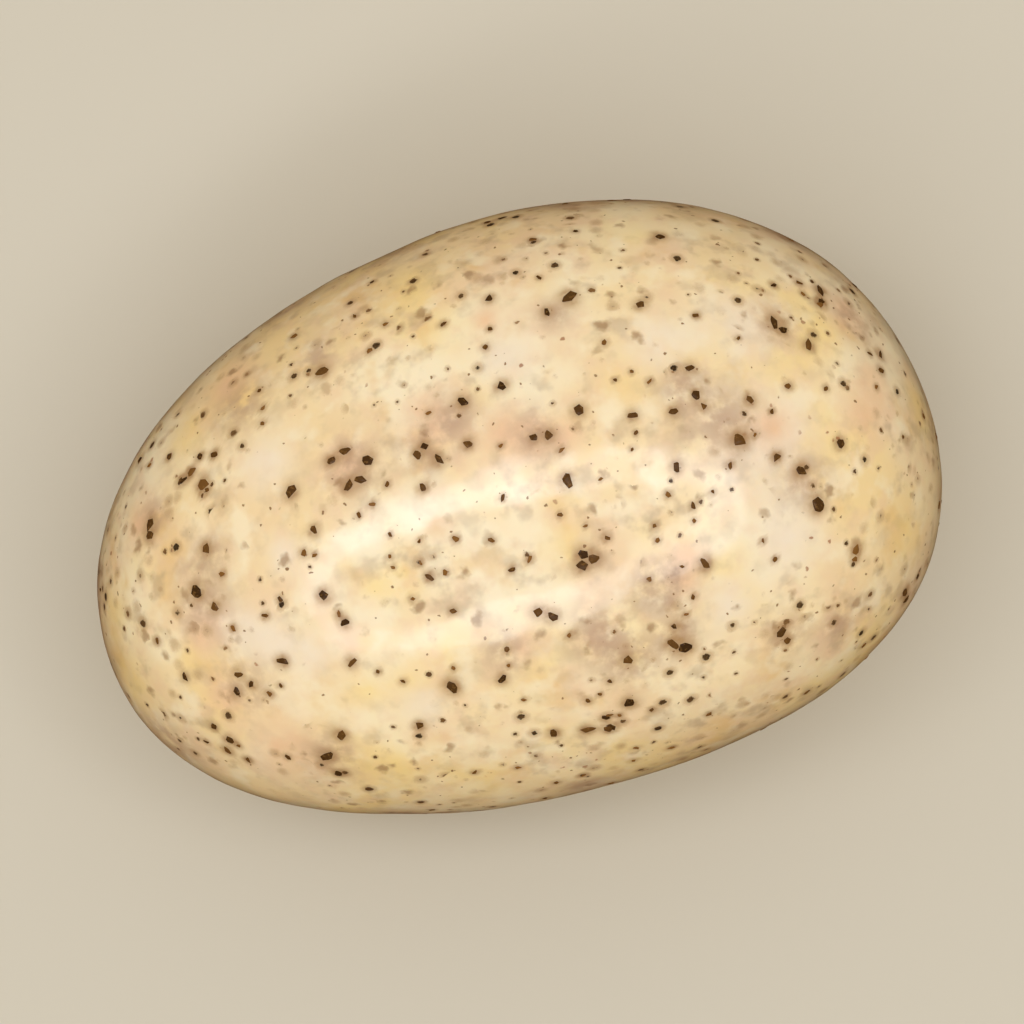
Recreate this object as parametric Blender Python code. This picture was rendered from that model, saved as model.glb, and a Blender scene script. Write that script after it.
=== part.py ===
"""A white chocolate coffee almond: one almond inside a thick speckled coating.

Metres, +Z up. The long axis lies along X and the thin axis along Z. The sweet rests on
a small flat spot, and the origin is the middle of its underside.
"""

import math

import bmesh
import bpy
from mathutils import Matrix, Vector, noise

# Size over the finished coating, before the flat spot is cut.
LENGTH = 0.0265
WIDTH = 0.0179
THICKNESS = 0.0155

# How the coated almond departs from a plain ellipsoid.
BLUNT_END = 0.076  # the +X end is wider than the middle by this share, the -X end narrower
FULL_SHOULDERS = 0.026  # share by which the shoulders stand outside an ellipse
SIDEWAYS_BOW = 0.00028  # how far the ends hang back towards -Y from the middle
FLATTER_BACK = 0.93  # the underside bulges this much of what the top does

# The coating builds up a little unevenly in the tumbling pan.
LUMP_SPACING = 0.0098
LUMP_HEIGHT = 0.00017
DIMPLE_SPACING = 0.0046
DIMPLE_HEIGHT = 0.00004
PAN_TURN = Vector((3.7, 1.9, 5.3))  # which stretch of the noise this almond gets

# The sweet lay on a tray while its coat set, so its weight is over the middle of the flat.
FLAT_DEPTH = 0.00015
NARROW_END_DOWN = math.radians(2.6)

FACES_ALONG_EDGE = 26
COATING_COLOUR = (0.871, 0.658, 0.392, 1.0)
COATING_ROUGHNESS = 0.22


def clear_scene():
    for old in list(bpy.data.objects):
        bpy.data.objects.remove(old, do_unlink=True)


def ball_direction(corner):
    """Turns a point of a cube with half side 1 into a point of the unit ball, in even steps."""
    spread = Vector([math.tan(part * math.pi / 4) for part in corner])
    return spread.normalized()


def coated_form(unit):
    """The coated almond over one point of the unit ball, before it is brought to size."""
    along = unit.x
    shoulder = 1 + FULL_SHOULDERS * 4 * along**2 * (1 - along**2)
    girth = shoulder * (1 + BLUNT_END * along)
    depth = THICKNESS / 2 * (1 if unit.z > 0 else FLATTER_BACK)
    place = Vector(
        (
            LENGTH / 2 * along * shoulder,
            WIDTH / 2 * unit.y * girth + SIDEWAYS_BOW * (1 - 2 * along**2),
            depth * unit.z * girth,
        )
    )
    lump = LUMP_HEIGHT * noise.noise(place / LUMP_SPACING + PAN_TURN)
    dimple = DIMPLE_HEIGHT * noise.noise(place / DIMPLE_SPACING - PAN_TURN)
    return place + unit * (lump + dimple)


def corners(points):
    lowest = Vector([min(point[axis] for point in points) for axis in range(3)])
    highest = Vector([max(point[axis] for point in points) for axis in range(3)])
    return lowest, highest


def bring_to_size(shape):
    """Lays the form at rest, scales it to its named size, centres it, and stands it on z = 0."""
    lay_down = Matrix.Rotation(-NARROW_END_DOWN, 3, "Y")
    bmesh.ops.rotate(shape, verts=shape.verts, cent=(0, 0, 0), matrix=lay_down)
    lowest, highest = corners([vert.co for vert in shape.verts])
    middle = (lowest + highest) / 2
    span = highest - lowest
    wanted = Vector((LENGTH, WIDTH, THICKNESS))
    scale = Vector([wanted[axis] / span[axis] for axis in range(3)])
    for vert in shape.verts:
        vert.co = (vert.co - middle) * scale
        vert.co.z += THICKNESS / 2


def cut_flat_spot(shape):
    """Takes off the lowest sliver, closes the cut, and lowers the body onto z = 0."""
    everything = shape.verts[:] + shape.edges[:] + shape.faces[:]
    cut = bmesh.ops.bisect_plane(
        shape,
        geom=everything,
        dist=1e-7,
        plane_co=(0, 0, FLAT_DEPTH),
        plane_no=(0, 0, -1),
        clear_outer=True,
    )
    rim = [part for part in cut["geom_cut"] if isinstance(part, bmesh.types.BMEdge)]
    bmesh.ops.edgeloop_fill(shape, edges=rim)
    bmesh.ops.translate(shape, verts=shape.verts, vec=(0, 0, -FLAT_DEPTH))


def coating_material():
    material = bpy.data.materials.new("speckled_coating")
    material.use_nodes = True
    shader = material.node_tree.nodes["Principled BSDF"]
    shader.inputs["Base Color"].default_value = COATING_COLOUR
    shader.inputs["Roughness"].default_value = COATING_ROUGHNESS
    shader.inputs["Metallic"].default_value = 0
    return material


def coated_almond():
    shape = bmesh.new()
    bmesh.ops.create_cube(shape, size=2)
    bmesh.ops.subdivide_edges(
        shape, edges=shape.edges, cuts=FACES_ALONG_EDGE - 1, use_grid_fill=True
    )
    for vert in shape.verts:
        vert.co = coated_form(ball_direction(vert.co))
    bring_to_size(shape)
    cut_flat_spot(shape)
    bmesh.ops.recalc_face_normals(shape, faces=shape.faces)
    mesh = bpy.data.meshes.new("coated_almond")
    shape.to_mesh(mesh)
    shape.free()
    mesh.shade_smooth()
    mesh.materials.append(coating_material())
    body = bpy.data.objects.new("coated_almond", mesh)
    bpy.context.scene.collection.objects.link(body)


clear_scene()
coated_almond()
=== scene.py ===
"""A white chocolate coffee almond, finished: its speckled, glazed coating and its coffee grounds.

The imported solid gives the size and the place. Metres, +Z up, long axis along X.
"""

import math
import random

import bmesh
import bpy
import numpy as np
from mathutils import Matrix, Vector, noise
from mathutils.bvhtree import BVHTree
from mathutils.kdtree import KDTree


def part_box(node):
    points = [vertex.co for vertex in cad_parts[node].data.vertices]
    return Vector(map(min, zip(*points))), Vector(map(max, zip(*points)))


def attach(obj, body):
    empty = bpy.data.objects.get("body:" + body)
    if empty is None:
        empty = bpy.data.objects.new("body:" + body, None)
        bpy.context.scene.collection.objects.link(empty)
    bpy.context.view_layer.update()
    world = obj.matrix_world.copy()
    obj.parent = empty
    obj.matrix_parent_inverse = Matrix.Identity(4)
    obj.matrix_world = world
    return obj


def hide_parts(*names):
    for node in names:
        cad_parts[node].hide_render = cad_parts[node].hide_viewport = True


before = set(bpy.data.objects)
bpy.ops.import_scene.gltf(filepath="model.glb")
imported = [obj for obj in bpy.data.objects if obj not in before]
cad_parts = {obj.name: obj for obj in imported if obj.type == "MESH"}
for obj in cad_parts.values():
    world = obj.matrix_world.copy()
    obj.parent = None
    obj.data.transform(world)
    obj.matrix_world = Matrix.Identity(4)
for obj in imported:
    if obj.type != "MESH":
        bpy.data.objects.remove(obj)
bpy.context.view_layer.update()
MM = 0.001

# The coating is white chocolate, built up drop by drop on a whole almond in a tumbling pan.
# It makes the whole outer form: an egg with one blunter end, low lumps and dimples, and a
# small flat where the sweet lay while it set.
low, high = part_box("coated_almond")
FLAT_DEPTH = 0.15 * MM
FLAT_ROUNDING = 0.03 * MM
COAT_SIZE = high - low + Vector((0, 0, FLAT_DEPTH))
BLUNT_END = 0.076
FULL_SHOULDERS = 0.026
SIDEWAYS_BOW = 0.28 * MM
FLATTER_BACK = 0.93
NARROW_END_DOWN = math.radians(2.6)
PAN_TURN = Vector((3.7, 1.9, 5.3))
# the lumps and dimples: how far apart, how high, and which way PAN_TURN moves them
PAN_RELIEF = (
    (9.8 * MM, 0.17 * MM, 1),
    (4.6 * MM, 0.04 * MM, -1),
    (2.3 * MM, 0.036 * MM, 1),
    (1.1 * MM, 0.014 * MM, -1),
    (0.5 * MM, 0.004 * MM, 1),
)
COAT_FACES = 128


def ball_direction(corner):
    """Turns a point of a cube with half side 1 into a point of the unit ball, in even steps."""
    spread = Vector([math.tan(part * math.pi / 4) for part in corner])
    return spread.normalized()


def coated_form(unit):
    """The coated almond over one point of the unit ball, before it is brought to size."""
    along = unit.x
    shoulder = 1 + FULL_SHOULDERS * 4 * along**2 * (1 - along**2)
    girth = shoulder * (1 + BLUNT_END * along)
    depth = COAT_SIZE.z / 2 * (1 if unit.z > 0 else FLATTER_BACK)
    place = Vector(
        (
            COAT_SIZE.x / 2 * along * shoulder,
            COAT_SIZE.y / 2 * unit.y * girth + SIDEWAYS_BOW * (1 - 2 * along**2),
            depth * unit.z * girth,
        )
    )
    relief = sum(
        height * noise.noise(place / spacing + turn * PAN_TURN)
        for spacing, height, turn in PAN_RELIEF
    )
    return place + unit * relief


coat = bmesh.new()
bmesh.ops.create_cube(coat, size=2)
bmesh.ops.subdivide_edges(coat, edges=coat.edges, cuts=COAT_FACES - 1, use_grid_fill=True)
for vert in coat.verts:
    vert.co = coated_form(ball_direction(vert.co))
lay_down = Matrix.Rotation(-NARROW_END_DOWN, 3, "Y")
bmesh.ops.rotate(coat, verts=coat.verts, cent=(0, 0, 0), matrix=lay_down)
reach = [sorted(vert.co[axis] for vert in coat.verts) for axis in range(3)]
middle = Vector([(line[0] + line[-1]) / 2 for line in reach])
stretch = Vector([COAT_SIZE[axis] / (reach[axis][-1] - reach[axis][0]) for axis in range(3)])
for vert in coat.verts:
    vert.co = (vert.co - middle) * stretch
    above_flat = vert.co.z + COAT_SIZE.z / 2 - FLAT_DEPTH
    vert.co.z = (above_flat + math.hypot(above_flat, FLAT_ROUNDING)) / 2
coat.verts.ensure_lookup_table()
coat.faces.ensure_lookup_table()
skin = BVHTree.FromBMesh(coat)

# Ground coffee is stirred through the last coats. The grains on the top are listed as the
# camera sees them, each by its place along and across the almond and its width, in mm. The
# rest fall at random on the sides and the underside, some of them in clumps.
BOLD_GROUNDS = (
    (-10.8, 2.8, 0.42), (-10.9, 2.5, 0.38), (-4.4, 5.8, 0.42), (-6.35, 2.55, 0.38),
    (-4.9, 3.1, 0.28), (-4.4, 3.25, 0.34), (-3.8, 2.8, 0.34), (-4.2, 2.3, 0.34),
    (-4.6, 2.2, 0.34), (-2.3, 2.5, 0.30), (-2.0, 2.7, 0.30), (-1.7, 2.2, 0.32),
    (-0.5, 3.7, 0.34), (-0.7, 2.4, 0.30), (-2.4, 1.5, 0.26), (-10.0, 0.4, 0.42),
    (-9.6, -0.2, 0.30), (-9.35, 1.6, 0.34), (-6.0, 1.2, 0.28), (-8.3, 4.3, 0.28),
    (1.2, 6.5, 0.28), (0.8, 3.8, 0.32), (3.6, 5.85, 0.44), (2.8, 5.6, 0.28),
    (6.75, 6.85, 0.36), (9.4, 3.3, 0.40), (9.6, 3.0, 0.28), (2.85, 2.4, 0.34),
    (1.3, 2.0, 0.26), (1.75, 1.95, 0.32), (1.9, 0.45, 0.40), (4.4, 1.8, 0.30),
    (5.25, -0.1, 0.30), (5.65, 1.55, 0.27), (6.5, 2.7, 0.28), (6.45, 1.85, 0.30),
    (6.6, 1.45, 0.24), (8.0, 1.25, 0.30), (7.35, 0.15, 0.44), (8.3, -0.7, 0.30),
    (8.9, -1.3, 0.36), (10.3, -0.85, 0.32), (9.1, -2.45, 0.44), (1.75, -1.9, 0.36),
    (2.0, -2.1, 0.34), (1.6, -2.2, 0.34), (-0.1, -3.2, 0.36), (0.3, -3.45, 0.32),
    (5.25, -3.2, 0.36), (3.6, -5.3, 0.38), (3.95, -5.5, 0.46), (3.8, -4.8, 0.26),
    (2.1, -5.4, 0.34), (6.9, -5.9, 0.34), (7.0, -6.2, 0.26), (-3.3, -4.65, 0.42),
    (-1.75, -4.85, 0.30), (-4.6, -5.5, 0.30), (-7.0, -5.1, 0.36), (-7.6, -5.6, 0.44),
    (-7.4, -6.2, 0.30), (-8.1, -2.4, 0.32), (-6.05, -3.05, 0.30), (-9.5, -2.4, 0.30),
    (-9.7, -2.9, 0.32), (-9.2, -2.8, 0.27), (-6.3, -0.8, 0.34), (-5.9, -1.8, 0.28),
    (-3.0, -1.2, 0.26), (-11.1, -2.0, 0.27), (-0.7, -6.9, 0.32),
)
SMALLER_GROUNDS = (
    (4.2, 4.2, 0.26), (7.15, 4.2, 0.28), (10.5, 3.9, 0.24), (8.2, 3.15, 0.20),
    (5.2, 2.65, 0.22), (4.2, 3.0, 0.18), (4.75, 3.1, 0.18), (4.35, 1.25, 0.20),
    (4.1, 0.8, 0.18), (2.0, 1.4, 0.24), (2.9, 0.2, 0.20), (1.4, -0.5, 0.22),
    (2.05, -1.05, 0.18), (2.6, -1.6, 0.28), (4.1, -1.65, 0.20), (4.05, -2.1, 0.22),
    (4.75, -0.85, 0.26), (5.4, -1.4, 0.26), (5.3, -1.85, 0.20), (6.1, -1.15, 0.20),
    (6.85, -0.55, 0.24), (7.85, 0.15, 0.20), (9.25, 1.3, 0.30), (10.35, 0.9, 0.24),
    (8.55, 0.7, 0.20), (11.95, 1.55, 0.24), (11.85, 0.5, 0.22), (12.2, -1.2, 0.20),
    (9.7, -4.4, 0.30), (7.35, -3.7, 0.22), (7.15, -3.05, 0.20), (0.1, -1.55, 0.26),
    (-6.5, 0.6, 0.28), (-6.2, 0.45, 0.22), (-6.0, -1.5, 0.26), (-5.35, -3.55, 0.22),
    (-4.7, -4.05, 0.24), (-3.1, -4.1, 0.20), (-4.05, 1.45, 0.24), (-4.55, 1.25, 0.22),
    (-3.8, 0.4, 0.20), (-4.0, -0.25, 0.20), (-4.0, -0.6, 0.18), (-3.0, -0.05, 0.20),
    (-3.15, -0.7, 0.18), (-2.5, -1.2, 0.24), (-1.9, -0.3, 0.26), (-0.85, -0.65, 0.26),
    (-0.15, 0.5, 0.24), (-0.5, -1.7, 0.26), (-3.7, -1.7, 0.24), (-2.6, -2.4, 0.26),
    (0.6, -4.15, 0.24), (-1.35, -4.0, 0.26), (-1.45, -4.5, 0.20), (-1.3, -5.65, 0.20),
    (4.55, -3.1, 0.18), (4.6, -4.1, 0.22), (4.25, -4.55, 0.20), (1.4, -5.85, 0.24),
    (1.0, -6.15, 0.20), (3.45, -3.2, 0.28), (-10.3, 4.55, 0.26), (-9.1, 0.7, 0.26),
    (-11.6, -0.7, 0.28), (-9.25, -1.0, 0.26), (-8.2, -0.9, 0.26), (-7.6, -0.55, 0.26),
    (-3.45, 1.9, 0.24), (-8.75, -3.25, 0.28), (-8.35, -3.1, 0.22), (-9.0, 3.2, 0.22),
    (1.1, -6.85, 0.24), (1.4, -6.95, 0.22), (2.4, -7.05, 0.24), (4.05, -7.7, 0.30),
    (1.6, -8.05, 0.24), (1.4, -8.4, 0.26), (2.65, -8.35, 0.28), (-2.05, -7.6, 0.26),
    (-0.2, -8.4, 0.26), (0.65, 5.1, 0.26), (0.95, 5.6, 0.22), (-0.4, 6.15, 0.28),
    (-2.1, 6.65, 0.26), (-2.8, 6.0, 0.28), (-1.6, 3.65, 0.24), (-6.4, 5.8, 0.24),
    (-6.45, 5.25, 0.24), (-6.6, 4.8, 0.24), (0.25, 2.05, 0.20),
)
CAMERA_HEIGHT = 175 * MM
LENS = Vector((0, 0, COAT_SIZE.z / 2 + CAMERA_HEIGHT))
SMALLER_SHARE = 0.76  # of the listed width, which the camera's blur makes too large
BOLD_ROAST = (0, 0.5)  # 0 is the darkest roast and 1 the lightest
SMALLER_ROAST = (0.3, 1.4)
SET_BY_EYE = 0.80  # where the coat faces up more than this, no grain falls at random
LOOSE_GROUNDS = 120
MIDDLING_WIDTH = 0.24 * MM
WIDTH_SPREAD = 0.22
CLUMPS = 11
CLUMP_SIZES = (3, 6)
CLUMP_REACH = 0.42 * MM
WIDER_IN_CLUMPS = 1.2
luck = random.Random(11)
grounds = []


def as_seen(along, across):
    """The point of the coat, and its normal, that the camera sees this far from the middle."""
    sight = Vector((along * MM, across * MM, -CAMERA_HEIGHT))
    return skin.ray_cast(LENS, sight.normalized())[:2]


def set_loose(place, width):
    """Sets a grain at the point of the coat nearest to a place, clear of those listed."""
    spot, normal, _, _ = skin.find_nearest(place)
    if normal.z < SET_BY_EYE:
        grounds.append((spot, normal, width, luck.random() ** 2))


def usual_width():
    return MIDDLING_WIDTH * math.exp(luck.gauss(0, WIDTH_SPREAD))


for along, across, width in BOLD_GROUNDS:
    grounds.append((*as_seen(along, across), width * MM, luck.uniform(*BOLD_ROAST)))
for along, across, listed_width in SMALLER_GROUNDS:
    width = listed_width * SMALLER_SHARE
    grounds.append((*as_seen(along, across), width * MM, luck.uniform(*SMALLER_ROAST)))
areas = [face.calc_area() for face in coat.faces]
for face in luck.choices(coat.faces, weights=areas, k=LOOSE_GROUNDS):
    set_loose(face.calc_center_median(), usual_width())
for face in luck.choices(coat.faces, weights=areas, k=CLUMPS):
    for _ in range(luck.randint(*CLUMP_SIZES)):
        step = Vector([luck.gauss(0, CLUMP_REACH) for _ in range(3)])
        set_loose(face.calc_center_median() + step, usual_width() * WIDER_IN_CLUMPS)

# Coffee oil stains the chocolate close round each ground, crowds of deeper grounds show as
# greyish smudges, and the cream drifts between rosy, yellow and pale; the pale patches near the
# glint's left end are partly a painted highlight. Those on the top are listed too, each by its
# place along and across and its reach, in mm.
SMUDGES = (
    (7.0, 0.9, 1.2), (6.1, 2.2, 0.6), (-4.4, 2.8, 1.0), (-2.0, 2.6, 0.8), (-0.8, 3.3, 0.7),
    (1.3, 2.1, 0.8), (-9.9, 0.1, 1.1), (-9.4, -2.8, 0.9), (1.5, -4.3, 1.0), (3.9, -3.7, 0.8),
    (2.2, -5.5, 0.9), (3.8, -5.2, 0.7), (-7.5, -5.6, 0.9), (-4.4, 6.3, 0.7), (3.0, 5.5, 0.6),
    (9.5, 3.2, 0.8), (8.9, -1.6, 0.8), (7.0, -6.0, 0.8), (8.7, -6.1, 0.7), (-1.4, -4.1, 0.8),
    (3.6, -3.2, 0.6), (-10.6, 3.0, 0.7), (-9.3, 1.5, 0.6), (1.8, -2.1, 0.6), (-7.0, 5.5, 1.0),
    (11.7, 2.7, 0.7),
)
ROSY_PATCHES = (
    (11.6, 2.8, 0.8), (11.2, -0.3, 0.6), (-10.2, -0.8, 0.7), (0.4, 2.5, 0.6), (1.3, 2.1, 0.6),
    (2.2, 1.8, 0.5), (-1.6, 3.4, 0.8), (-0.8, -4.0, 0.5), (4.7, -2.9, 0.4), (4.4, -3.6, 0.4),
    (11.8, 0.6, 0.7), (-8.8, -4.9, 1.1), (-10.1, -2.9, 0.7), (-7.2, 6.3, 0.9), (-11.0, 3.0, 0.8),
    (0.9, 5.9, 0.35), (8.4, 0.25, 0.6), (-4.4, 2.9, 0.7),
)
YELLOW_PATCHES = (
    (-7.4, 6.2, 0.9), (-6.8, 5.6, 0.9), (-12.7, -1.6, 0.9), (-1.0, 7.6, 0.9), (-10.8, -1.5, 0.5),
    (-12.6, 0.6, 0.9), (4.6, 2.9, 0.7), (1.5, -1.6, 0.7), (-5.8, -3.9, 0.6), (-4.4, -4.1, 0.6),
    (-6.0, -6.4, 1.2), (-3.4, -7.6, 1.2), (12.9, -0.5, 0.8), (11.6, -4.0, 0.9), (11.0, 2.6, 0.7),
    (-4.7, -0.9, 0.4), (-8.9, 5.2, 0.8),
)
# pale patches: the cream's own pale spots, and near the glint's left end a painted highlight
PALE_AND_HIGHLIGHT_PATCHES = (
    (-10.1, -0.4, 0.7), (-9.2, -1.0, 0.7), (-8.3, -1.7, 0.8), (-7.2, -2.5, 0.8), (8.3, -0.3, 1.5),
    (8.0, -3.2, 1.1), (8.4, 3.6, 1.3), (-4.2, -4.9, 0.7), (5.6, -4.7, 0.9), (-7.1, 0.7, 0.6),
    (5.8, 3.8, 1.0), (-6.8, 3.6, 0.9), (1.2, 4.6, 0.8),
)
OTHER_SMUDGES = 40
OTHER_SMUDGE_REACH = (0.6, 1.3)
SMUDGES_FALL_BELOW = 0.5  # where the coat faces up less than this
WIDEST_GROUND = 0.5 * MM
STAIN_SHARE = 1.0  # how far a stain reaches round its ground, by the ground's width
EYE_EDGE = 0.04  # how softly the top part, where the grains are listed, ends
points = np.array([vert.co[:] for vert in coat.verts])


def patches_seen(listed):
    return [(as_seen(along, across)[0], radius * MM) for along, across, radius in listed]


def depth_in(patches):
    """How deep each point of the coat lies in soft round patches, from 0 to 1."""
    depth = np.zeros(len(points))
    for spot, radius in patches:
        depth += np.exp(-((points - np.array(spot)) ** 2).sum(axis=1) / radius**2)
    return np.minimum(depth, 1)


smudges = patches_seen(SMUDGES)
for face in luck.choices(coat.faces, weights=areas, k=OTHER_SMUDGES):
    if face.normal.z < SMUDGES_FALL_BELOW:
        smudges.append((face.calc_center_median(), luck.uniform(*OTHER_SMUDGE_REACH) * MM))
near_grounds = KDTree(len(grounds))
for index, ground in enumerate(grounds):
    near_grounds.insert(ground[0], index)
near_grounds.balance()
widest_reach = (0.5 + STAIN_SHARE) * WIDEST_GROUND
stain = []
for vert in coat.verts:
    depth = 0
    for _, index, gap in near_grounds.find_range(vert.co, widest_reach):
        width = grounds[index][2]
        depth += max(0, 1 - max(gap - width / 2, 0) / (STAIN_SHARE * width)) ** 2
    stain.append(min(depth, 1))


def placed(name, data):
    """Puts a mesh, a lamp or a camera in the scene."""
    thing = bpy.data.objects.new(name, data)
    bpy.context.scene.collection.objects.link(thing)
    return thing


# how deep in each kind of patch a point lies is kept on the coat, for its finish to read
coat.normal_update()
upward = np.array([vert.normal.z for vert in coat.verts])
marks = {
    "stain": stain,
    "smudge": depth_in(smudges),
    "rosy": depth_in(patches_seen(ROSY_PATCHES)),
    "yellow": depth_in(patches_seen(YELLOW_PATCHES)),
    "pale_and_highlight": depth_in(patches_seen(PALE_AND_HIGHLIGHT_PATCHES)),
    "set_by_eye": np.clip((upward - SET_BY_EYE + EYE_EDGE) / (2 * EYE_EDGE), 0, 1),
}
coating_mesh = bpy.data.meshes.new("coating")
coat.to_mesh(coating_mesh)
for name, depth in marks.items():
    coating_mesh.attributes.new(name, "FLOAT", "POINT").data.foreach_set("value", depth)
coating_mesh.shade_smooth()
coating = placed("coating", coating_mesh)


class Field:
    """A value, colour or direction that varies over a finish. Arithmetic on it adds Math nodes."""

    tree = None

    def __init__(self, socket):
        self.socket = socket

    @classmethod
    def feed(cls, node, sockets):
        """Fills a node's sockets with values or with fields."""
        for name, value in sockets.items():
            if isinstance(value, Field):
                cls.tree.links.new(value.socket, node.inputs[name])
            else:
                node.inputs[name].default_value = value

    @classmethod
    def node(cls, kind, settings=None, sockets=None, output=0):
        """Adds a node and gives one of its outputs."""
        made = cls.tree.nodes.new("ShaderNode" + kind)
        for name, value in (settings or {}).items():
            setattr(made, name, value)
        cls.feed(made, sockets or {})
        return cls(made.outputs[output])

    def other(self, output):
        """Another output of the same node."""
        return Field(self.socket.node.outputs[output])

    def maths(self, operation, first, second):
        return Field.node("Math", {"operation": operation}, {0: first, 1: second})

    def __add__(self, other):
        return self.maths("ADD", self, other)

    def __sub__(self, other):
        return self.maths("SUBTRACT", self, other)

    def __rsub__(self, other):
        return self.maths("SUBTRACT", other, self)

    def __mul__(self, other):
        return self.maths("MULTIPLY", self, other)

    __radd__ = __add__
    __rmul__ = __mul__


def seen(red, green, blue):
    """A colour as the eye reads it on a screen, 0 to 255, as the light a finish gives back."""
    linear = [((part / 255 + 0.055) / 1.055) ** 2.4 for part in (red, green, blue)]
    return (*linear, 1)


def fade(value, start, end):
    """Goes softly from 0 to 1 as the value goes from start to end."""
    sockets = {"Value": value, "From Min": start, "From Max": end}
    return Field.node("MapRange", {"interpolation_type": "SMOOTHSTEP"}, sockets)


def tint(under, over, amount):
    """Lays one colour over another."""
    return Field.node("Mix", {"data_type": "RGBA"}, {0: amount, 6: under, 7: over}, 2)


def cloud(place, spacing, detail=2.0, output="Fac"):
    """Soft patches about this many millimetres apart."""
    sockets = {"Vector": place, "Scale": 1 / spacing, "Detail": detail}
    return Field.node("TexNoise", None, sockets, output)


def shifted(place, offset):
    return Field.node("VectorMath", {"operation": "ADD"}, {0: place, 1: offset})


def scaled(place, factor):
    return Field.node("VectorMath", {"operation": "SCALE"}, {0: place, "Scale": factor})


def drift(place, corner, spacing, detail, thin, thick):
    """Soft patches, none where the noise is thin and full where it is thick."""
    return fade(cloud(shifted(place, corner), spacing, detail), thin, thick)


def cells(place, spacing, output="Distance"):
    """Splits the coat into cells about this many millimetres across."""
    sockets = {"Vector": place, "Scale": 1 / spacing}
    return Field.node("TexVoronoi", {"voronoi_dimensions": "3D"}, sockets, output)


def scattered(place, corner, spacing, smallest, largest, edge):
    """Grains strewn through the coat: how far each shows, the gap to it, and its own luck."""
    cell = cells(shifted(place, corner), spacing)
    own = Field.node("SeparateColor", None, {"Color": cell.other("Color")}, "Red")
    gap = cell * spacing - (own * (largest - smallest) + smallest)
    return fade(gap, edge, -edge), gap, own.other("Green")


def begin_finish(name):
    """Starts a finish, to which the fields after it are added, and gives it and its shader."""
    begun = bpy.data.materials.new(name)
    begun.use_nodes = True
    Field.tree = begun.node_tree
    return begun, begun.node_tree.nodes["Principled BSDF"]


finish, shader = begin_finish("speckled_coating")
mm = scaled(Field.node("TexCoord", None, None, "Object"), 1 / MM)
stain, smudge, rosy, yellow, pale_and_highlight, set_by_eye = [
    Field.node("Attribute", {"attribute_name": name}, None, "Fac") for name in marks
]

CREAM = seen(239, 214, 171)
PALE_CREAM = seen(243, 226, 194)
YELLOW_CREAM = seen(242, 210, 136)
ROSE_CREAM = seen(231, 196, 162)
WARM_CREAM = seen(235, 206, 158)
LILAC_CREAM_AND_HIGHLIGHT = seen(238, 220, 197)
PINK_CREAM = seen(235, 194, 156)
OCHRE = seen(222, 177, 108)
SMUDGE_GREY = seen(184, 150, 125)
MOTTLE_GREY = seen(180, 154, 125)
OIL_BROWN = seen(172, 134, 94)
DEEP_GROUND = seen(150, 112, 74)
RUST_GROUND = seen(150, 84, 46)
MID_GROUND = seen(132, 92, 52)
BLACK_GROUND = seen(46, 27, 6)

# The white chocolate: cream, with drifts of other creams. A drift has its colour, how strongly
# it shows, and how it lies: its corner of the noise, its spacing in mm, its detail, and how thick
# the noise is where it starts and where it is full.
WIDE_DRIFTS = (
    (PALE_CREAM, 1, ((0, 0, 0), 3.2, 2, 0.42, 0.62)),
    (YELLOW_CREAM, 0.65, ((40, 0, 0), 3.6, 2, 0.46, 0.66)),
    (ROSE_CREAM, 0.55, ((0, 40, 0), 2.4, 3, 0.49, 0.66)),
    (WARM_CREAM, 0.6, ((80, 40, 0), 6.5, 2, 0.46, 0.62)),
    (OCHRE, 0.45, ((40, 40, 0), 1.6, 3, 0.56, 0.72)),
)
CROWDS = ((0, 0, 40), 2.6, 3, 0.40, 0.60)
MOTTLE = ((40, 0, 40), 0.85, 3, 0.48, 0.70)
MOTTLE_SHOWS = 0.25
MORE_MOTTLE_IN_CROWDS = 0.33
SMALL_DRIFTS = (
    (ROSE_CREAM, 0.45, ((0, 80, 0), 0.9, 3, 0.48, 0.70)),
    (PALE_CREAM, 0.75, ((80, 0, 0), 1.1, 3, 0.49, 0.72)),
)
colour = CREAM
for cream, strength, lie in WIDE_DRIFTS:
    colour = tint(colour, cream, drift(mm, *lie) * strength)
crowd = drift(mm, *CROWDS)
mottle = drift(mm, *MOTTLE)
colour = tint(colour, MOTTLE_GREY, mottle * (MOTTLE_SHOWS + crowd * MORE_MOTTLE_IN_CROWDS))
for cream, strength, lie in SMALL_DRIFTS:
    colour = tint(colour, cream, drift(mm, *lie) * strength)

# The patches: each kind has its colour, how strongly it shows at least, and how much more where
# the noise is thick.
UNEVEN = ((80, 80, 0), 0.8, 3, 0.30, 0.62)
SMUDGE_CLOUD = ((0, 0, 0), 0.55, 4, 0.25, 0.62)
SMUDGES_SHOW = 0.80
uneven = drift(mm, *UNEVEN)
for patch, cream, least, more in (
    (yellow, YELLOW_CREAM, 0.3, 0.35),
    # pale lilac over the pale patches, partly a painted highlight near the glint's left end
    (pale_and_highlight, LILAC_CREAM_AND_HIGHLIGHT, 0.6, 0.35),
    (rosy, PINK_CREAM, 0.55, 0.4),
):
    colour = tint(colour, cream, patch * (uneven * more + least))
colour = tint(colour, SMUDGE_GREY, smudge * drift(mm, *SMUDGE_CLOUD) * SMUDGES_SHOW)

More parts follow.
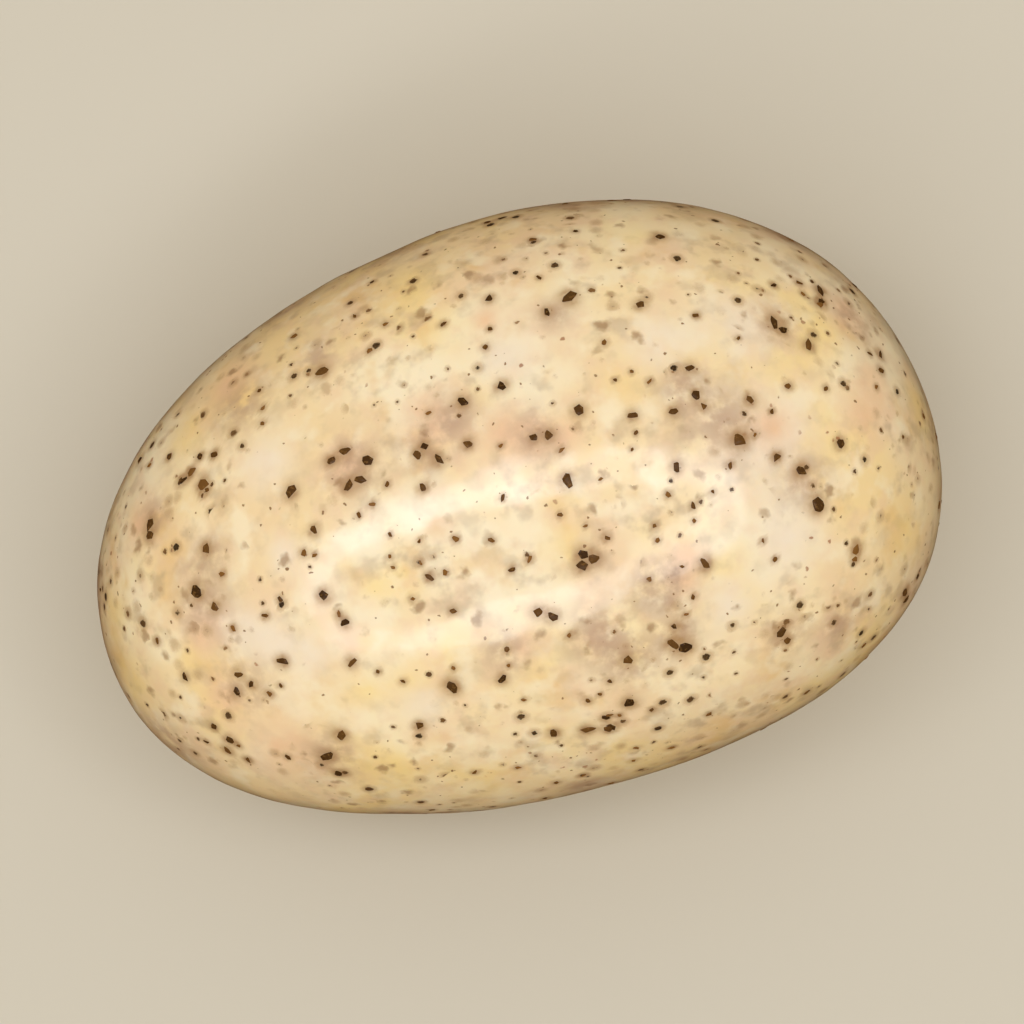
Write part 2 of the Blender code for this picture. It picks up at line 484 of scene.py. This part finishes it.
# Coffee under the surface: soft grey-brown grains, and the stains round the grounds. A kind of
# grain has its corner of the noise and, in mm, its spacing, its smallest and largest radius and
# the softness of its edge.
RAGGED_SPACING = 0.22
RAGGED_REACH = 0.20
STRAYING_SPACING = 0.5
STRAYING_REACH = 0.5
DEEP_GRAINS = ((9, 0, 0), 0.84, 0.08, 0.20, 0.10)
DEEP_MORE_IN_CROWDS = 0.4
DEEP_LUCK = (0.35, 1.1)
DEEP_SHOW = 0.7
OIL_CLOUD = ((0, 0, 0), 0.4, 3, 0.35, 0.65)
OIL_SHOWS = 0.60
wander = shifted(cloud(mm, RAGGED_SPACING, 2, "Color"), (-0.5, -0.5, -0.5))
ragged = shifted(mm, scaled(wander, RAGGED_REACH))
straying = scaled(cloud(mm, STRAYING_SPACING, 2, "Color"), STRAYING_REACH)
deep, _, deep_luck = scattered(shifted(ragged, straying), *DEEP_GRAINS)
deep_here = fade(deep_luck + crowd * DEEP_MORE_IN_CROWDS, *DEEP_LUCK)
colour = tint(colour, DEEP_GROUND, deep * deep_here * DEEP_SHOW)
oil = drift(mm, *OIL_CLOUD) * (1 - OIL_SHOWS) + OIL_SHOWS
colour = tint(colour, OIL_BROWN, stain * oil)

# Coffee at the surface: rusty grains, dust, fine grains and crumbs. How a kind lies is how much
# more of it there is in smudges, how much less where others are listed, and the luck at which
# its grains start to show and show in full.
MORE_IN_CROWDS = 0.5
RUST_GRAINS = ((0, 0, 9), 0.50, 0.03, 0.08, 0.02)
RUST_PLACES = ((0, 40, 40), 2.2, 2, 0.55, 0.66)
RUST_SHOWS = 0.75
DUST = ((9, 0, 9), 0.36, 0.012, 0.05, 0.012)
DUST_LIES = (0.4, 0, 0.60, 0.85)
DUST_SHOWS = 0.9
FACET_SIZE = 0.06
FACET_PULL = 0.5
FINE_GRAINS = ((9, 9, 0), 0.66, 0.035, 0.085, 0.012)
FINE_LIE = (0.5, 0.3, 0.50, 0.56)
FINE_DARKNESS = 0.8
FINE_STAIN_REACH = 0.1
FINE_STAIN_SHOWS = 0.45
CRUMBS = ((9, 9, 9), 0.84, 0.075, 0.14, 0.02)
CRUMBS_LIE = (0.4, 0.8, 0.50, 0.56)
CRUMB_DARKNESS = 0.9
FACET_DARKNESS = 0.3
CRUMB_STAIN_REACH = 0.22
CRUMB_STAIN_SHOWS = 0.55


def present(own_luck, more_in_smudges, fewer_by_eye, start, end):
    """Which grains of a kind are there."""
    chance = own_luck + crowd * MORE_IN_CROWDS + smudge * more_in_smudges
    return fade(chance - set_by_eye * fewer_by_eye, start, end)


rust, _, _ = scattered(ragged, *RUST_GRAINS)
colour = tint(colour, RUST_GROUND, rust * drift(mm, *RUST_PLACES) * RUST_SHOWS)
dust, _, dust_luck = scattered(ragged, *DUST)
colour = tint(colour, MID_GROUND, dust * present(dust_luck, *DUST_LIES) * DUST_SHOWS)
facets = cells(mm, FACET_SIZE, "Position")
facet_luck = Field.node("SeparateColor", None, {"Color": facets.other("Color")}, "Red")
broken = tint(ragged, facets, FACET_PULL)
fine, fine_gap, fine_luck = scattered(broken, *FINE_GRAINS)
fine_here = present(fine_luck, *FINE_LIE)
fine_stain = fade(fine_gap, FINE_STAIN_REACH, 0)
fine_colour = tint(MID_GROUND, BLACK_GROUND, fine_luck * FINE_DARKNESS)
colour = tint(colour, OIL_BROWN, fine_stain * fine_here * FINE_STAIN_SHOWS)
colour = tint(colour, fine_colour, fine * fine_here)
crumb, crumb_gap, crumb_luck = scattered(broken, *CRUMBS)
crumb_here = present(crumb_luck, *CRUMBS_LIE)
crumb_stain = fade(crumb_gap, CRUMB_STAIN_REACH, 0)
crumb_darkness = crumb_luck * CRUMB_DARKNESS + facet_luck * FACET_DARKNESS
crumb_colour = tint(MID_GROUND, BLACK_GROUND, crumb_darkness)
colour = tint(colour, OIL_BROWN, crumb_stain * crumb_here * CRUMB_STAIN_SHOWS)
colour = tint(colour, crumb_colour, crumb * crumb_here)

# The glaze: polished by tumbling, a little duller in patches and thin over the grains.
PATCHY_SPACING = 1.3
PATCHES_DULL = (0.45, 0.75)
DULLER_IN_PATCHES = 0.2
LEAST_ROUGHNESS = 0.25
ROUGHER_IN_PATCHES = 0.25
DULLER_OVER_GRAINS = 0.7
PEEL_SPACING = 0.30
PEEL_HEIGHT = 0.015 * MM
PEEL_STRENGTH = 0.35
patchy = cloud(mm, PATCHY_SPACING, 3)
glaze = 1 - fade(patchy, *PATCHES_DULL) * DULLER_IN_PATCHES
roughness = patchy * ROUGHER_IN_PATCHES + LEAST_ROUGHNESS
grain_shows = fade(crumb * crumb_here + fine * fine_here, 0, 1)
peel = cloud(mm, PEEL_SPACING, 2)
relief = {"Strength": PEEL_STRENGTH, "Distance": PEEL_HEIGHT, "Height": peel}
speckled_and_glazed = {
    "Base Color": colour,
    "Roughness": roughness,
    "Coat Weight": glaze * (1 - grain_shows * DULLER_OVER_GRAINS),
    "Normal": Field.node("Bump", None, relief, "Normal"),
    "Specular IOR Level": 0.2,
    "Subsurface Weight": 0.2,
    "Subsurface Radius": (1.0, 0.6, 0.3),
    "Subsurface Scale": 0.6 * MM,
    "Coat Roughness": 0.13,
    "Coat IOR": 1.6,
}
Field.feed(shader, speckled_and_glazed)
coating_mesh.materials.append(finish)
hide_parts("coated_almond")
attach(coating, "root")

# The larger grounds are dark chips of roasted bean, broken rather than cut, and each is pressed
# into the coat so that only its upper side stands a few hundredths of a millimetre out.
CHIP_TURNS = (0, 6.28)
CHIP_CORNERS = (5, 8)
CORNER_SHIFT = 0.42  # of the step from one corner to the next
CORNER_REACH = (0.68, 1.14)
CHIP_LONGER = (1.0, 1.45)
CHIP_STANDS_OUT = 0.016 * MM
RIM_RISE = (-0.6, 1.0)
TOP_REACH = (0.35, 0.75)
TOP_RISE = (0.9, 1.8)
BOTTOM_REACH = 0.6
CHIP_DEPTH = 0.5  # of half its width
chips = bmesh.new()
roast_mark = chips.verts.layers.float.new("roast")
for spot, normal, width, roast in grounds:
    upright = normal.to_track_quat("Z", "Y").to_matrix()
    turn = upright @ Matrix.Rotation(luck.uniform(*CHIP_TURNS), 3, "Z")
    longer = luck.uniform(*CHIP_LONGER)
    corners = []
    count = luck.randint(*CHIP_CORNERS)
    for step in range(count):
        angle = math.tau * (step + luck.uniform(-CORNER_SHIFT, CORNER_SHIFT)) / count
        rim = Vector((math.cos(angle) * longer, math.sin(angle) / longer, 0)) * width / 2
        rim *= luck.uniform(*CORNER_REACH)
        rim.z = CHIP_STANDS_OUT * luck.uniform(*RIM_RISE)
        top = rim * luck.uniform(*TOP_REACH)
        top.z = CHIP_STANDS_OUT * luck.uniform(*TOP_RISE)
        bottom = rim * BOTTOM_REACH
        bottom.z = -CHIP_DEPTH * width / 2
        corners += [chips.verts.new(spot + turn @ corner) for corner in (rim, top, bottom)]
    for corner in corners:
        corner[roast_mark] = roast
    hull = bmesh.ops.convex_hull(chips, input=corners)
    bmesh.ops.delete(chips, geom=hull["geom_interior"], context="VERTS")
bmesh.ops.recalc_face_normals(chips, faces=chips.faces)
chips_mesh = bpy.data.meshes.new("coffee_grounds")
chips.to_mesh(chips_mesh)
chips_mesh.shade_flat()
coffee_grounds = placed("coffee_grounds", chips_mesh)

DARKEST_ROAST = seen(56, 32, 3)
LIGHTEST_ROAST = seen(126, 84, 37)
BROKEN_BEAN = seen(134, 94, 46)
GRIT = ((0, 0, 0), 0.10, 3, 0.52, 0.72)
GRIT_SHOWS = 0.5
CHIP_PATCHY_SPACING = 0.2
CHIP_LEAST_ROUGHNESS = 0.4
CHIP_ROUGHER_IN_PATCHES = 0.3
roasted, shader = begin_finish("coffee_grounds")
mm = scaled(Field.node("TexCoord", None, None, "Object"), 1 / MM)
roast = Field.node("Attribute", {"attribute_name": "roast"}, None, "Fac")
colour = tint(DARKEST_ROAST, LIGHTEST_ROAST, roast)
colour = tint(colour, BROKEN_BEAN, drift(mm, *GRIT) * GRIT_SHOWS)
patchy = cloud(mm, CHIP_PATCHY_SPACING)
dark_and_oily = {
    "Base Color": colour,
    "Roughness": patchy * CHIP_ROUGHER_IN_PATCHES + CHIP_LEAST_ROUGHNESS,
    "Specular IOR Level": 0.1,
    "Coat Weight": 0.15,
    "Coat Roughness": 0.12,
}
Field.feed(shader, dark_and_oily)
chips_mesh.materials.append(roasted)
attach(coffee_grounds, "root")

# The table top is a plain pale sheet of paper, wide enough to run out of the picture. The sweet
# lies on it, and it isn't mirrored in the glaze, which would lighten the edge all round.
TABLE_SIDE = 1.2
SHEET_COLOUR = seen(199, 190, 174)
SHEET_ROUGHNESS = 0.7
table = bmesh.new()
bmesh.ops.create_grid(table, x_segments=1, y_segments=1, size=TABLE_SIDE / 2)
table_mesh = bpy.data.meshes.new("table_top")
table.to_mesh(table_mesh)
table_top = placed("table_top", table_mesh)
sheet, shader = begin_finish("pale_sheet")
Field.feed(shader, {"Base Color": SHEET_COLOUR, "Roughness": SHEET_ROUGHNESS})
table_mesh.materials.append(sheet)
table_top.visible_glossy = False

# A ring of small soft boxes gives the long rounded glint on the glaze. The glint's outline is set
# in mm along and across the almond as the camera sees it, and each box hangs where the coat
# mirrors it at the next point of that outline.
RING_LIGHTS = 44
RING_DISTANCE = 0.35
RING_WATTS = 0.55
RING_COLOUR = (0.96, 1.0, 1.05)
LIGHT_SIDES = (0.032, 0.068)
UPPER_SIDE_BRIGHTER = 0.12
RIGHT_END_BRIGHTER = 0.18
RIGHT_END_LARGER = 0.1
BOTH_ENDS_LARGER = 0.2
GLINT_MIDDLE = (-0.1, -1.15)
GLINT_REACH = (6.5, 1.95)
GLINT_SLOPE = -0.02
GLINT_TAPER = -0.16
GLINT_SQUARENESS = 0.75
OUTLINE_STEPS = 720
EVENED_OUT = 2 * MM


def coat_lie(spot):
    """Which way the coat faces round a point, with its small dimples evened out."""
    nearby = skin.find_nearest_range(spot, EVENED_OUT)
    return sum((normal for _, normal, _, _ in nearby), Vector()).normalized()


def rounded(part):
    """Swells an even circle's sine or cosine towards a square's."""
    return math.copysign(abs(part) ** GLINT_SQUARENESS, part)


outline = []
for step in range(OUTLINE_STEPS):
    turn = math.tau * step / OUTLINE_STEPS
    along = rounded(math.cos(turn)) * GLINT_REACH[0]
    across = rounded(math.sin(turn)) * GLINT_REACH[1] * (1 + GLINT_TAPER * math.cos(turn))
    across += GLINT_SLOPE * along
    outline.append((Vector((along + GLINT_MIDDLE[0], across + GLINT_MIDDLE[1])), turn))
gone = [0]
for (place, _), (following, _) in zip(outline, outline[1:]):
    gone.append(gone[-1] + (following - place).length)
for step in range(RING_LIGHTS):
    share_gone = gone[-1] * step / RING_LIGHTS
    place, turn = outline[next(i for i, length in enumerate(gone) if length >= share_gone)]
    spot = as_seen(place.x, place.y)[0]
    way = (spot - LENS).normalized().reflect(coat_lie(spot))
    right = math.cos(turn)
    larger = 1 + RIGHT_END_LARGER * right + BOTH_ENDS_LARGER * right**2
    brighter = 1 + UPPER_SIDE_BRIGHTER * math.sin(turn) + RIGHT_END_BRIGHTER * right
    lamp = bpy.data.lights.new(f"soft_box_{step}", "AREA")
    lamp.shape = "RECTANGLE"
    lamp.size, lamp.size_y = [side * larger for side in LIGHT_SIDES]
    lamp.energy = RING_WATTS / RING_LIGHTS * brighter * larger**2
    lamp.color = RING_COLOUR
    soft_box = placed(f"soft_box_{step}", lamp)
    soft_box.location = spot + way * RING_DISTANCE
    soft_box.rotation_euler = Vector((0, 0, 1)).rotation_difference(way).to_euler()

# A wide canopy hangs over the table and gives most of the light. It isn't mirrored in the glaze,
# as it would whiten the whole top and drown the glint.
CANOPY_WAY = Vector((0.02, 0.16, 1))
CANOPY_HEIGHT = 0.38
CANOPY_SIDE = 0.8
CANOPY_WATTS = 1.77
CANOPY_COLOUR = (0.94, 0.99, 1.06)
sweet_middle = (low + high) / 2
lamp = bpy.data.lights.new("canopy", "AREA")
lamp.energy = CANOPY_WATTS
lamp.color = CANOPY_COLOUR
lamp.size = CANOPY_SIDE
canopy = placed("canopy", lamp)
canopy.location = sweet_middle + CANOPY_WAY * CANOPY_HEIGHT
canopy.rotation_euler = CANOPY_WAY.to_track_quat("Z", "Y").to_euler()
canopy.visible_glossy = False

# The room is dim brown below the horizon, bright and pale just above it, and dark overhead. So
# the sides of the sweet are lit from the side and darken towards the table.
DIM_BROWN = seen(96, 66, 40)
PALE_GOLD = seen(246, 224, 164)
BROWN_BELOW = -0.4
PALE_ABOVE = 0.2
HORIZON_GLOW = 0.74
OVERHEAD_GLOW = 0.08
room = bpy.data.worlds.new("room")
room.use_nodes = True
Field.tree = room.node_tree
way = Field.node("TexCoord", None, None, "Generated")
height = Field.node("SeparateXYZ", None, {"Vector": way}, "Z")
backdrop = room.node_tree.nodes["Background"]
room_colour = tint(DIM_BROWN, PALE_GOLD, fade(height, BROWN_BELOW, PALE_ABOVE))
glow = (1 - fade(height, 0, 1)) * HORIZON_GLOW + OVERHEAD_GLOW
Field.feed(backdrop, {"Color": room_colour, "Strength": glow})
bpy.context.scene.world = room
bpy.context.scene.view_settings.view_transform = "Standard"

# The camera looks straight down on the sweet from a hand's length. It is turned so that the
# long axis rises to the right, and its lens lets the sweet fill most of the frame.
SENSOR = 36
SHARE_OF_FRAME = 0.84
PHOTO_TILT = math.radians(16.5)
eye = bpy.data.cameras.new("camera")
eye.sensor_width = SENSOR
eye.lens = SENSOR * CAMERA_HEIGHT * SHARE_OF_FRAME / COAT_SIZE.x
camera = placed("camera", eye)
camera.location = sweet_middle + Vector((0, 0, CAMERA_HEIGHT))
camera.rotation_euler = (0, 0, -PHOTO_TILT)
bpy.context.scene.camera = camera
